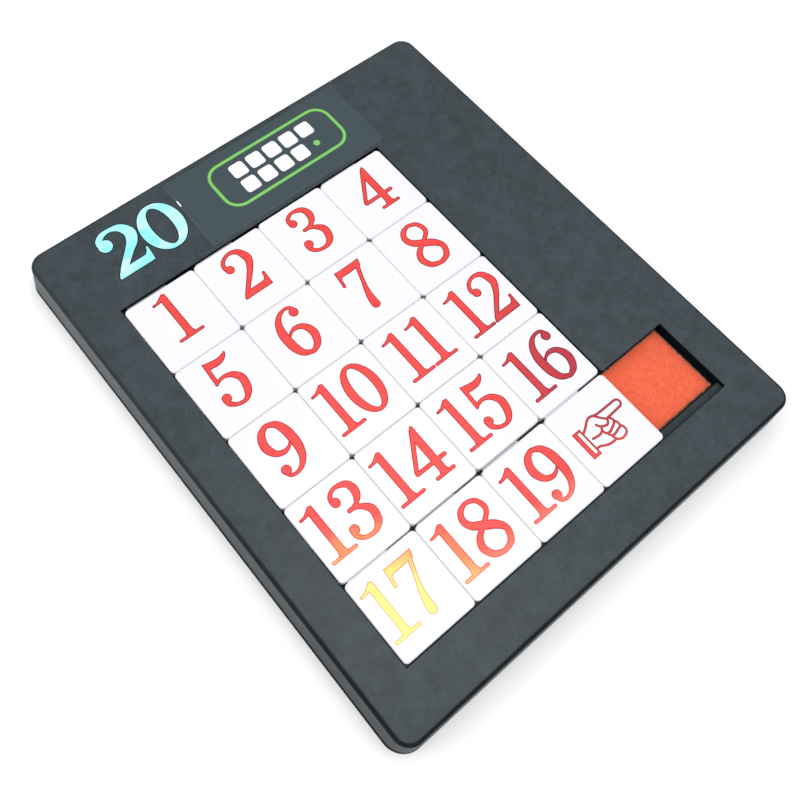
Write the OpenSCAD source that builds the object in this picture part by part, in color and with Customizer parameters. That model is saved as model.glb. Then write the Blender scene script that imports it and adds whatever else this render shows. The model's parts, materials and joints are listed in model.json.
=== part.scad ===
// Sliding tile puzzle: nineteen numbered tiles and a pointing-hand tile, tongued and
// grooved together in a flat case with a parking bay beside the last row.
// Millimetres. +Z is up, +Y runs towards the heading, +X is the way the hand points.
// The origin is on the resting face, at the middle of the case.

/* [Tiles] */
// Width of one cell along a row
pitch_x = 24; // [20:0.5:30]
// Length of one cell down a column
pitch_y = 24.5; // [20:0.5:30]
// Thickness of a tile
tile_t = 3.2; // [2.8:0.1:5]
// Gap between two tiles that are pushed together
tile_gap = 0.05; // [0.04:0.01:0.2]
// Corner radius of a tile seen from above
tile_r = 1.4; // [0.8:0.1:2.5]
// How far a tile's top face lies below the case's top face
tile_recess = 0.2; // [0:0.1:0.6]
// Free play between the fourth and the fifth row
row_play = 0.7; // [0.4:0.1:1.2]

/* [Tongues and grooves] */
// Thickness of a tongue
tongue_t = 1; // [0.8:0.1:1.2]
// How far a tongue reaches out of its side
tongue_reach = 1.9; // [1.4:0.1:2.4]
// Plain side before a tongue starts, from the tile's upper left corner
tongue_start = 1.7; // [1.5:0.1:4]
// Length of a tongue along its side
tongue_len = 13.2; // [8:0.1:16]
// Room over and under a tongue in its groove
tongue_slack = 0.15; // [0.1:0.05:0.3]
// Room in front of a tongue in its groove
groove_room = 0.35; // [0.3:0.05:0.6]

/* [Case] */
// Height of the case
case_h = 11; // [9:0.5:16]
// Case outline to the tiles, on the left
left_rim = 14.8; // [12:0.1:24]
// Case outline to the parking bay, on the right
right_rim = 15; // [12:0.1:24]
// Case outline to the tiles, on the side of the heading
top_rim = 32.5; // [24:0.5:48]
// Case outline to the tiles, on the side nearest the player
bottom_rim = 16.8; // [12:0.1:24]
// Radius of the upright corners at the resting face
corner_r = 6.5; // [5:0.5:10]
// How much the side walls lean in from bottom to top
side_draft = 1.5; // [0.5:0.1:2]
// Radius of the rounded top edge
edge_r = 1.6; // [1:0.1:2.2]
// Thickness of the top plate
top_t = 2.2; // [1.6:0.1:2.6]
// Thickness of the outer wall at the ledge
wall = 3.9; // [3.2:0.1:5]
// Thickness of the wall around the tiles
tray_wall = 4; // [3.2:0.1:5]

/* [Parking bay] */
// Spare width of the bay beside a parked tile
bay_play = 1.2; // [0.6:0.1:2]
// Thickness of the felt mat
felt_t = 1; // [0.6:0.1:1.2]
// Bare floor between the mat and the bay's near wall
felt_margin = 2.6; // [2.2:0.1:4]
// Bare floor between the mat and the bay's end wall
felt_end_gap = 0.5; // [0.3:0.1:3]
// Gap between a parked tile and the bay's upper wall
bay_clear = 0.1; // [0.06:0.01:0.3]
// How far the mat reaches under the tile beside the bay
felt_tuck = 3; // [1:0.5:6]

/* [Fits] */
// Gap between the tiles and the walls at the left and right
side_clear = 0.2; // [0.1:0.05:0.4]
// Gap between the first row and the wall under the heading
top_clear = 0.35; // [0.1:0.05:0.6]
// Gap between the last row and the wall nearest the player
bottom_clear = 0.2; // [0.1:0.05:0.4]
// Gap under a tile
slide_clear = 0.1; // [0.08:0.01:0.3]
// Gap around the base plate in the case
plate_clear = 0.15; // [0.1:0.05:0.4]
// Gap around a locating pin in its boss
pin_clear = 0.05; // [0.03:0.01:0.15]

/* [Base] */
// Thickness of the base plate
plate_t = 2; // [1.4:0.1:2.4]
// Width of the rim of the case that surrounds the base plate
base_rim = 2.4; // [1.6:0.1:2.8]
// Thickness of the tray floor
floor_t = 2; // [1.6:0.1:2.4]
// Thickness of the ribs on the base plate
rib_t = 1.2; // [0.8:0.1:2]
// Diameter of the locating pins
pin_d = 3; // [2:0.1:3.4]
// Outer diameter of the bosses that take the pins
boss_d = 5.6; // [5:0.1:7]
// Length of a pin above the base plate
pin_len = 3.5; // [2:0.5:4]
// Case outline to the middle of a pin
pin_inset = 7.4; // [7:0.1:8]

/* [Label] */
// Width of the printed sticker beside the heading
label_w = 66.5; // [40:0.5:72]
// Height of the sticker
label_h = 26.6; // [16:0.5:27]
// Thickness of the sticker
label_t = 0.15; // [0.1:0.05:0.3]
// Corner radius of the sticker
label_r = 0.6; // [0.3:0.1:2]

/* [Hidden] */
$fn = 48;
COLS = 4;
ROWS = 5;
HAND = COLS * ROWS;
EDGE_STEPS = 6;
// Share of the play that each column above the last row has slipped down into
SLIP = [0.6, 0.4, 0, 0.3];
eps = 0.5;

function tile_name(n) = n == HAND ? "tile_hand" : str("tile_", n < 10 ? "0" : "", n);

// Field of tiles, its outline and the parking bay
field_w = COLS * pitch_x;
field_l = ROWS * pitch_y + row_play;
bay_w = pitch_x + bay_play;
case_w = left_rim + field_w + bay_w + right_rim;
case_l = top_rim + field_l + bottom_rim;
field_left = left_rim - case_w / 2;
field_top = case_l / 2 - top_rim;
field_right = field_left + field_w;
field_bottom = field_top - field_l;
bay_right = field_right + bay_w;
bay_top = field_bottom + pitch_y + bay_clear;

// Window in the case
win_left = field_left - side_clear;
win_right = field_right + side_clear;
win_top = field_top + top_clear;
win_bottom = field_bottom - bottom_clear;

// Levels, from the top face down
tile_top = case_h - tile_recess;
tile_z = tile_top - tile_t;
tongue_z = tile_z + (tile_t - tongue_t) / 2;
groove_t = tongue_t + 2 * tongue_slack;
groove_z = tongue_z - tongue_slack;
groove_in = tongue_reach + groove_room;
floor_top = tile_z - slide_clear;
floor_z = floor_top - floor_t;
cavity_top = case_h - top_t;

// A tile's own outline
tile_w = pitch_x - tile_gap;
tile_l = pitch_y - tile_gap;

// Pins at the corners and halfway along the long sides
pin_x = case_w / 2 - pin_inset;
pin_y = case_l / 2 - pin_inset;
PIN_SPOTS = [for (x = [-pin_x, pin_x], y = [-pin_y, 0, pin_y]) [x, y]];

// ---------- shared shapes ----------

// Rectangle between two corners with rounded corners
module round_rect(x0, y0, x1, y1, r) {
    translate([x0 + r, y0]) square([x1 - x0 - 2 * r, y1 - y0]);
    translate([x0, y0 + r]) square([x1 - x0, y1 - y0 - 2 * r]);
    for (x = [x0 + r, x1 - r], y = [y0 + r, y1 - r])
        translate([x, y]) circle(r);
}

// Case outline drawn in by an inset
module case_outline(inset) {
    x = case_w / 2 - inset;
    y = case_l / 2 - inset;
    round_rect(-x, -y, x, y, max(corner_r - inset, 1));
}

// The L-shaped space that the tiles move in, grown outwards by a margin
module tray_outline(grow) {
    translate([win_left - grow, win_bottom - grow])
        square([win_right - win_left + 2 * grow, win_top - win_bottom + 2 * grow]);
    translate([win_left - grow, win_bottom - grow])
        square([bay_right - win_left + 2 * grow, bay_top - win_bottom + 2 * grow]);
}

// Outer edge of the case, outwards from a distance that counts as the middle
function edge_profile(reach) = concat(
    [[0, 0], [reach, 0]],
    [for (i = [0 : EDGE_STEPS])
        let (a = 90 * i / EDGE_STEPS)
        [reach - side_draft - edge_r + edge_r * cos(a), case_h - edge_r + edge_r * sin(a)]],
    [[0, case_h]]
);

// Half of the case's cross-section and its mirror image
module edge_section(reach) {
    polygon(edge_profile(reach));
    mirror([1, 0]) polygon(edge_profile(reach));
}

// The whole block of the case: leaning walls, rounded top edge and corners
module case_block() {
    x = case_w / 2;
    y = case_l / 2;
    rotate([90, 0, 0])
        linear_extrude(2 * (y - corner_r), center = true) edge_section(x);
    rotate([90, 0, 90])
        linear_extrude(2 * (x - corner_r), center = true) edge_section(y);
    for (cx = [corner_r - x, x - corner_r], cy = [corner_r - y, y - corner_r])
        translate([cx, cy]) rotate_extrude() polygon(edge_profile(corner_r));
}

// A straight bar between two corners, from one level up to another
module bar(x0, y0, x1, y1, z0, z1) {
    translate([x0, y0, z0]) cube([x1 - x0, y1 - y0, z1 - z0]);
}

// ---------- case ----------

// Hollow under the top plate, left full where the tray wall and the bosses stand
module case_cavity() {
    difference() {
        translate([0, 0, plate_t - eps])
            linear_extrude(cavity_top - plate_t + eps) case_outline(wall);
        translate([0, 0, floor_top])
            linear_extrude(case_h) tray_outline(tray_wall);
        for (p = PIN_SPOTS)
            translate([p[0], p[1], plate_t]) cylinder(d = boss_d, h = case_h);
    }
}

// Grooves in the left wall, in the wall under the heading and in the bay's upper wall
module case_grooves() {
    z1 = groove_z + groove_t;
    bar(win_left - groove_in, field_bottom, win_left + eps, win_top, groove_z, z1);
    bar(win_left, win_top - eps, field_right, win_top + groove_in, groove_z, z1);
    bar(field_right, bay_top - eps, bay_right, bay_top + groove_in, groove_z, z1);
}

// Rails on the right wall and on the wall nearest the player. The right one stops short
// of the bay's upper groove, so that a tile's tongue can pass its end.
module case_rails() {
    z1 = tongue_z + tongue_t;
    bar(win_right - tongue_reach, bay_top + groove_in + eps, win_right + eps, win_top,
        tongue_z, z1);
    bar(win_left - eps, win_bottom - eps, bay_right + eps, win_bottom + tongue_reach, tongue_z, z1);
}

module case_frame() {
    color("#4a5257") {
        difference() {
            case_block();
            translate([0, 0, -eps]) linear_extrude(plate_t + eps) case_outline(base_rim);
            case_cavity();
            translate([0, 0, floor_top - eps]) linear_extrude(case_h) tray_outline(0);
            case_grooves();
            for (p = PIN_SPOTS)
                translate([p[0], p[1], plate_t - eps])
                    cylinder(d = pin_d + 2 * pin_clear, h = pin_len + 2 * eps);
        }
        case_rails();
    }
}

// Floor that the tiles slide on, with a shallow pocket for the mat
module tray_floor() {
    color("#30363a")
        difference() {
            translate([0, 0, floor_z]) linear_extrude(floor_t) tray_outline(tray_wall);
            bar(field_right - felt_tuck - side_clear, win_bottom, bay_right, bay_top,
                floor_top - felt_t, floor_top + eps);
        }
}

// Cover under the case, with ribs that carry the tray floor and pins that find the bosses
module base_plate() {
    color("#3a4146") {
        linear_extrude(plate_t) case_outline(base_rim + plate_clear);
        for (i = [0 : COLS])
            bar(field_left + i * pitch_x - rib_t / 2, field_bottom,
                field_left + i * pitch_x + rib_t / 2, field_top, plate_t - eps, floor_z);
        for (i = [0 : ROWS - 1])
            bar(field_left, field_bottom + (i + 0.5) * pitch_y - rib_t / 2,
                i == 0 ? bay_right : field_right, field_bottom + (i + 0.5) * pitch_y + rib_t / 2,
                plate_t - eps, floor_z);
        for (p = PIN_SPOTS)
            translate([p[0], p[1], plate_t - eps]) cylinder(d = pin_d, h = pin_len + eps);
    }
}

// Felt pad on the floor of the parking bay
module felt_mat() {
    color("#ff6a3d")
        bar(field_right - felt_tuck, win_bottom + felt_margin,
            bay_right - felt_end_gap, bay_top - side_clear,
            floor_top - felt_t, floor_top);
}

// Thin printed sticker on the top plate, between the heading and the right panel
module top_label() {
    x0 = field_left + 1.4 * pitch_x;
    y0 = win_top + 1.4;
    color("#41525d")
        translate([0, 0, case_h])
            linear_extrude(label_t) round_rect(x0, y0, x0 + label_w, y0 + label_h, label_r);
}

// ---------- tiles ----------

// One tile with its lower left corner at the origin: tongues beside its upper left
// corner, grooves along its lower and right sides
module tile_blank() {
    difference() {
        translate([0, 0, tile_z])
            linear_extrude(tile_t) round_rect(0, 0, tile_w, tile_l, tile_r);
        bar(-eps, -eps, tile_w + eps, groove_in, groove_z, groove_z + groove_t);
        bar(tile_w - groove_in, -eps, tile_w + eps, tile_l + eps, groove_z, groove_z + groove_t);
    }
    bar(tongue_start, tile_l - eps, tongue_start + tongue_len, tile_l + tongue_reach,
        tongue_z, tongue_z + tongue_t);
    bar(-tongue_reach, tile_l - tongue_start - tongue_len, eps, tile_l - tongue_start,
        tongue_z, tongue_z + tongue_t);
}

// Tile number n in its cell, counted along the rows from the upper left
module tile(n) {
    col = (n - 1) % COLS;
    row = floor((n - 1) / COLS);
    play = row_play * (row == ROWS - 1 ? 1 : SLIP[col]);
    color("#f4f2f8")
        translate([
            field_left + col * pitch_x + tile_gap / 2,
            field_top - (row + 1) * pitch_y - play + tile_gap / 2,
            0
        ])
            tile_blank();
}

case_frame();
tray_floor();
base_plate();
felt_mat();
top_label();
for (n = [1 : HAND])
    tile(n);
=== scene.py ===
"""Looks of a sliding tile puzzle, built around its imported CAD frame.

Shapes are worked out in millimetres, in the frame's own axes, and turned into metres
when a piece is finished. Every finished piece's object sits at the origin.
"""

from __future__ import annotations

import json
import logging
import math
import random
from collections.abc import Callable, Sequence
from dataclasses import dataclass, field
from enum import Enum

import bmesh
import bpy
from mathutils import Matrix, Vector


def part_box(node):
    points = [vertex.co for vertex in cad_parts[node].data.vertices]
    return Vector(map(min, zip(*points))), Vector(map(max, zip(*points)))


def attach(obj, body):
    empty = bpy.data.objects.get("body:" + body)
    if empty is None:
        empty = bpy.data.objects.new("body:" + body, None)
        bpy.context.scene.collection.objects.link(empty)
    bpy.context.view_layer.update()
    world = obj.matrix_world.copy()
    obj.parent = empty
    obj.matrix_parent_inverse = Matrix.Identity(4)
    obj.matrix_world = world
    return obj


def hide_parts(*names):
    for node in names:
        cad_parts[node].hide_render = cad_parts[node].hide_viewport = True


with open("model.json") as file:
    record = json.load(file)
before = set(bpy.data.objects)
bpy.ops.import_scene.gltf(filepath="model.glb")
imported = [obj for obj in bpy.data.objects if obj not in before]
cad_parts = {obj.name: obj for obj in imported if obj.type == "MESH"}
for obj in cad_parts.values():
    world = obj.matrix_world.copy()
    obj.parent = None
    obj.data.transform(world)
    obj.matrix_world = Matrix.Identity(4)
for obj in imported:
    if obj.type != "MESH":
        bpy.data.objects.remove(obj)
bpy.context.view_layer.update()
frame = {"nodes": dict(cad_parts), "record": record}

LOG = logging.getLogger("tile_puzzle")
MM = 0.001
CASE_BODY = "case"
HAND_NUMBER = 20

Colour = tuple[float, float, float]
Point = tuple[float, float]
EdgeTest = Callable[[bmesh.types.BMEdge], bool]


# ---------------------------------------------------------------- shader graph


class Value:
    """One number or colour on its way through a material, used in Python expressions."""

    def __init__(self, graph: Graph, socket: bpy.types.NodeSocket) -> None:
        """Remembers the graph and the output socket that carries the value."""
        self.graph = graph
        self.socket = socket

    def _math(self, operation: str, *terms: Value | float) -> Value:
        """The result of one Math node, with its values in order."""
        inputs = {index: term for index, term in enumerate(terms)}
        return self.graph.node("ShaderNodeMath", {"operation": operation}, inputs)

    def __add__(self, other: Value | float) -> Value:
        """This value plus another."""
        return self._math("ADD", self, other)

    def __radd__(self, other: float) -> Value:
        """A number plus this value."""
        return self._math("ADD", other, self)

    def __sub__(self, other: Value | float) -> Value:
        """This value less another."""
        return self._math("SUBTRACT", self, other)

    def __rsub__(self, other: float) -> Value:
        """A number less this value."""
        return self._math("SUBTRACT", other, self)

    def __mul__(self, other: Value | float) -> Value:
        """This value times another."""
        return self._math("MULTIPLY", self, other)

    def __rmul__(self, other: float) -> Value:
        """A number times this value."""
        return self._math("MULTIPLY", other, self)

    def __truediv__(self, other: Value | float) -> Value:
        """This value divided by another."""
        return self._math("DIVIDE", self, other)

    def __pow__(self, other: Value | float) -> Value:
        """This value raised to a power."""
        return self._math("POWER", self, other)

    def ramp(self, low: float, high: float) -> Value:
        """Smooth step of this value.

        Args:
            low: Where the result is 0.
            high: Where the result is 1.

        Returns:
            A value from 0 to 1.
        """
        settings = {"interpolation_type": "SMOOTHSTEP"}
        inputs = {"Value": self, "From Min": low, "From Max": high}
        return self.graph.node("ShaderNodeMapRange", settings, inputs)

    def band(self, ends: Point) -> Value:
        """Smooth step between two places given in millimetres."""
        return self.ramp(ends[0] * MM, ends[1] * MM)


class Graph:
    """A material's nodes."""

    def __init__(self, name: str) -> None:
        """Starts an empty material with a Principled shader.

        Args:
            name: The material's name.
        """
        self.material = bpy.data.materials.new(name)
        self.material.use_nodes = True
        self.tree = self.material.node_tree
        self.tree.nodes.clear()
        self.shader = self.tree.nodes.new("ShaderNodeBsdfPrincipled")
        self.output = self.tree.nodes.new("ShaderNodeOutputMaterial")
        self.tree.links.new(self.shader.outputs[0], self.output.inputs["Surface"])

    def node(
        self,
        kind: str,
        settings: dict[str, object] | None = None,
        inputs: dict[str | int, object] | None = None,
        output: str | int = 0,
    ) -> Value:
        """Adds any node.

        Args:
            kind: Blender's type name of the node.
            settings: The node's own settings, set before its sockets.
            inputs: Values or links by socket name or number.
            output: Name or number of the socket that is wanted.

        Returns:
            The chosen output.
        """
        made = self.tree.nodes.new(kind)
        for key, setting in (settings or {}).items():
            setattr(made, key, setting)
        for key, value in (inputs or {}).items():
            self.feed(made.inputs[key], value)
        return Value(self, made.outputs[output])

    def feed(self, socket: bpy.types.NodeSocket, value: object) -> None:
        """Links a value to a socket, or sets the socket to a constant.

        Args:
            socket: The input socket.
            value: A Value, a number, a colour or a vector.
        """
        if isinstance(value, Value):
            self.tree.links.new(value.socket, socket)
        elif isinstance(value, tuple) and socket.type == "RGBA":
            socket.default_value = (*value, 1.0)
        else:
            socket.default_value = value

    def place(self) -> Value:
        """The point on the piece, in metres."""
        return self.node("ShaderNodeTexCoord", output="Object")

    def part(self, vector: Value, axis: str) -> Value:
        """One coordinate of a vector."""
        return self.node("ShaderNodeSeparateXYZ", inputs={0: vector}, output=axis)

    def noise(
        self, size: float, detail: float = 2.0, rough: float = 0.5, stretch: Point = (1.0, 1.0)
    ) -> Value:
        """Soft random pattern.

        Args:
            size: Rough size of one blotch in millimetres.
            detail: Number of finer layers.
            rough: Strength of the finer layers.
            stretch: How much denser the pattern is along X and Y.

        Returns:
            A value around 0.5.
        """
        spot = self.node(
            "ShaderNodeMapping",
            {"vector_type": "POINT"},
            {"Vector": self.place(), "Scale": (stretch[0], stretch[1], 1.0)},
        )
        inputs = {"Vector": spot, "Scale": 1.0 / (size * MM), "Detail": detail, "Roughness": rough}
        return self.node("ShaderNodeTexNoise", None, inputs)

    def mix(self, factor: Value | float, first: object, second: object) -> Value:
        """The first colour where the factor is 0 and the second where it is 1."""
        inputs = {0: factor, 6: first, 7: second}
        return self.node("ShaderNodeMix", {"data_type": "RGBA"}, inputs, 2)

    def bump(self, height: Value, depth: float, strength: float = 1.0) -> Value:
        """A normal bent by a height, where 1 stands for so many millimetres."""
        inputs = {"Height": height, "Distance": depth * MM, "Strength": strength}
        return self.node("ShaderNodeBump", None, inputs, "Normal")

    def cover(self, factor: Value, **sockets: object) -> None:
        """Lays a second shader over the first.

        Args:
            factor: 0 where the first shows, 1 where the second does.
            sockets: The second shader's values by socket name, with _ for a blank.
        """
        second = self.tree.nodes.new("ShaderNodeBsdfPrincipled")
        for name, value in sockets.items():
            self.feed(second.inputs[name.replace("_", " ")], value)
        both = self.tree.nodes.new("ShaderNodeMixShader")
        self.tree.links.new(factor.socket, both.inputs[0])
        self.tree.links.new(self.shader.outputs[0], both.inputs[1])
        self.tree.links.new(second.outputs[0], both.inputs[2])
        self.tree.links.new(both.outputs[0], self.output.inputs["Surface"])

    def finish(self, **sockets: object) -> bpy.types.Material:
        """Feeds the shader's sockets.

        Args:
            sockets: Values by socket name, with _ for a blank.

        Returns:
            The material.
        """
        for name, value in sockets.items():
            self.feed(self.shader.inputs[name.replace("_", " ")], value)
        return self.material


# -------------------------------------------------------------------- finishes


@dataclass(frozen=True)
class MouldedPlastic:
    """Moulded plastic with spark texture and flow marks, with painted shade at the foot of its
    walls and on its near walls, and a painted dark reflection along its top shoulder.
    """

    name: str
    colour: Colour
    fleck: Colour
    roughness: float = 0.4
    grain: float = 0.35
    grain_depth: float = 0.012
    shine: float = 0.5
    # Colour of the painted shade and painted dark reflection laid over the plastic.
    seam: Colour = (0.003, 0.005, 0.006)
    near_side: Point = (60.0, -85.0)
    foot_rise: Point = (2.6, 1.5)
    foot_start: Point = (0.02, 0.15)
    wall_rise: Point = (9.9, 9.3)
    shoulder_start: Point = (9.5, 10.1)
    shoulder_end: Point = (10.99, 10.86)

    def make(self) -> bpy.types.Material:
        """Builds the material."""
        graph = Graph(self.name)
        fine = graph.noise(self.grain, 3.0, 0.6)
        broad = graph.noise(22.0, 2.0, 0.5)
        cloud = graph.noise(4.5, 3.0, 0.65)
        flow = graph.noise(9.0, 3.0, 0.6, (1.0, 0.35))
        spots = fine.ramp(0.3, 0.72)
        tone = graph.mix(
            spots * 0.45 + cloud.ramp(0.3, 0.7) * 0.3 + broad * 0.25, self.colour, self.fleck
        )
        # Painted shade: a contact shadow at the foot of the walls and darker walls towards the near
        # side. The rounded top shoulder gets a painted dark reflection, stronger on the near side.
        height = graph.part(graph.place(), "Z")
        near = graph.part(graph.place(), "Y").band(self.near_side)
        foot = height.band(self.foot_rise) * height.band(self.foot_start)
        side = height.band(self.wall_rise) * near
        shoulder = height.band(self.shoulder_start) * height.band(self.shoulder_end)
        graph.cover(
            foot * 0.9 + side * 0.35 + shoulder * (near * 0.35 + 0.45),
            Base_Color=self.seam,
            Roughness=0.7,
            Specular_IOR_Level=0.05,
        )
        gloss = self.roughness + (broad - 0.5) * 0.12 + (fine - 0.5) * 0.10
        relief = graph.bump(fine + cloud * 0.5 + flow * 0.4, self.grain_depth)
        return graph.finish(
            Base_Color=tone, Roughness=gloss, Normal=relief, Specular_IOR_Level=self.shine
        )


@dataclass(frozen=True)
class TilePlastic:
    """Glossy white plastic of a tile, slightly wavy from its mould."""

    name: str
    colour: Colour
    shade: Colour
    roughness: float = 0.3

    def make(self) -> bpy.types.Material:
        """Builds the material."""
        graph = Graph(self.name)
        wave = graph.noise(7.0, 2.0, 0.5)
        fine = graph.noise(0.5, 2.0, 0.5)
        scuff = graph.noise(2.6, 4.0, 0.7, (1.0, 4.0)).ramp(0.62, 0.8)
        tone = graph.mix(wave * 0.5 + scuff * 0.25, self.colour, self.shade)
        relief = graph.bump(wave + fine * 0.12, 0.05, 0.6)
        return graph.finish(
            Base_Color=tone,
            Roughness=self.roughness + scuff * 0.18 + (fine - 0.5) * 0.06,
            Normal=relief,
            IOR=1.49,
            Subsurface_Weight=0.12,
            Subsurface_Scale=0.0015,
            Coat_Weight=0.25,
            Coat_Roughness=0.08,
        )


@dataclass(frozen=True)
class HotFoil:
    """Metallic stamping foil: brushed and a little uneven, with a painted gold highlight towards
    the near left corner, a painted highlight along the near edge and painted shade towards the
    right.
    """

    name: str
    face: Colour
    # Gold of the painted highlight, where a lamp's reflection brightens the foil.
    warm: Colour
    # Dark red of the painted shade, also used for the brushed lines.
    deep: Colour
    # Tint of the painted highlight along the tray's near edge.
    glint: Colour
    warm_at: Point = (-61.0, -67.0)
    warm_reach: float = 44.0
    deep_at: Point = (36.0, -36.0)
    deep_reach: float = 40.0
    warm_edge: Point = (0.22, 0.88)
    deep_edge: Point = (0.15, 1.1)
    glint_rise: Point = (-59.0, -70.0)
    metallic: float = 0.55
    roughness: float = 0.38

    def make(self) -> bpy.types.Material:
        """Builds the material."""
        graph = Graph(self.name)
        drift = graph.noise(6.0, 2.0, 0.6)
        lines = graph.noise(0.32, 2.0, 0.6, (1.0, 5.0))
        # Painted highlight: the foil turns gold around a spot near the near left corner.
        highlight_way = self._away(graph, self.warm_at, self.warm_reach)
        gold_highlight = 1.0 - (highlight_way + (drift - 0.5) * 0.25).ramp(*self.warm_edge)
        # Painted shade: the foil darkens around a spot on the right of the tray.
        far_shade = 1.0 - self._away(graph, self.deep_at, self.deep_reach).ramp(*self.deep_edge)
        # Painted highlight: the foil turns lighter towards the tray's near edge.
        low = graph.part(graph.place(), "Y").band(self.glint_rise)
        tone = graph.mix(far_shade * 0.85, self.face, self.deep)
        tone = graph.mix(low * 0.75, tone, self.glint)
        tone = graph.mix(gold_highlight, tone, self.warm)
        tone = graph.mix(lines.ramp(0.6, 0.85) * 0.2, tone, self.deep)
        relief = graph.bump(lines + drift * 0.6, 0.008)
        return graph.finish(
            Base_Color=tone,
            Metallic=self.metallic,
            Roughness=self.roughness + (lines - 0.5) * 0.2,
            Normal=relief,
        )

    @staticmethod
    def _away(graph: Graph, middle: Point, reach: float) -> Value:
        """Distance from a spot on the tray, as a share of a reach.

        Args:
            graph: The material's nodes.
            middle: The spot, in millimetres.
            reach: The distance that counts as 1.

        Returns:
            The share.
        """
        spot = graph.place()
        along = (graph.part(spot, "X") - middle[0] * MM) / (reach * MM)
        up = (graph.part(spot, "Y") - middle[1] * MM) / (reach * MM)
        return (along * along + up * up) ** 0.5


@dataclass(frozen=True)
class IceFoil:
    """Pale foil with soft bands of two tints."""

    name: str
    face: Colour
    pale: Colour
    tint: Colour
    metallic: float = 0.5
    roughness: float = 0.33

    def make(self) -> bpy.types.Material:
        """Builds the material."""
        graph = Graph(self.name)
        bands = graph.noise(9.0, 2.0, 0.5, (0.5, 1.3))
        fine = graph.noise(0.4, 3.0, 0.6)
        tone = graph.mix(bands.ramp(0.4, 0.62), self.face, self.pale)
        streaks = graph.noise(5.0, 1.0, 0.5, (1.4, 0.5))
        tone = graph.mix(streaks.ramp(0.55, 0.75) * 0.7, tone, self.tint)
        relief = graph.bump(fine, 0.006)
        return graph.finish(
            Base_Color=tone,
            Metallic=self.metallic,
            Roughness=self.roughness + (fine - 0.5) * 0.15,
            Normal=relief,
        )


@dataclass(frozen=True)
class PrintedFilm:
    """Satin plastic film or the ink on it."""

    name: str
    colour: Colour
    shade: Colour
    roughness: float = 0.35

    def make(self) -> bpy.types.Material:
        """Builds the material."""
        graph = Graph(self.name)
        fine = graph.noise(0.25, 2.0, 0.5)
        broad = graph.noise(12.0, 2.0, 0.5)
        tone = graph.mix(broad * 0.6 + fine * 0.3, self.colour, self.shade)
        relief = graph.bump(fine + broad, 0.006)
        return graph.finish(
            Base_Color=tone,
            Roughness=self.roughness + (fine - 0.5) * 0.1,
            Normal=relief,
        )


@dataclass(frozen=True)
class WoolFelt:
    """Pressed felt: matted fibres, with a painted highlight where fibres would stand up and painted
    shade in small pits.
    """

    name: str
    colour: Colour
    light: Colour
    dark: Colour
    fibre: float = 0.3

    def make(self) -> bpy.types.Material:
        """Builds the material."""
        graph = Graph(self.name)
        matted = graph.noise(self.fibre, 4.0, 0.75)
        strands = graph.noise(0.8, 3.0, 0.7, (0.6, 2.2))
        cross = graph.noise(0.9, 3.0, 0.7, (2.4, 0.6))
        clumps = graph.noise(2.4, 3.0, 0.6)
        pit_shade = graph.noise(0.8, 3.0, 0.8)
        tone = graph.mix(clumps.ramp(0.3, 0.7) * 0.3, self.colour, self.dark)
        # Painted shade in small pits.
        tone = graph.mix(pit_shade.ramp(0.5, 0.62) * 0.42, tone, self.dark)
        # Painted highlight: lighter specks where fibres would stand up.
        tone = graph.mix(matted.ramp(0.52, 0.66) * 0.8, tone, self.light)
        relief = graph.bump(matted + strands * 0.6 + cross * 0.6, 0.25)
        return graph.finish(
            Base_Color=tone,
            Roughness=0.95,
            Normal=relief,
            Sheen_Weight=0.35,
            Sheen_Roughness=0.5,
        )


@dataclass(frozen=True)
class StudioPaper:
    """Plain pale floor."""

    name: str
    colour: Colour

    def make(self) -> bpy.types.Material:
        """Builds the material."""
        graph = Graph(self.name)
        fine = graph.noise(1.5, 2.0, 0.5)
        shade = tuple(part * 0.97 for part in self.colour)
        return graph.finish(Base_Color=graph.mix(fine, self.colour, shade), Roughness=0.8)


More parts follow.
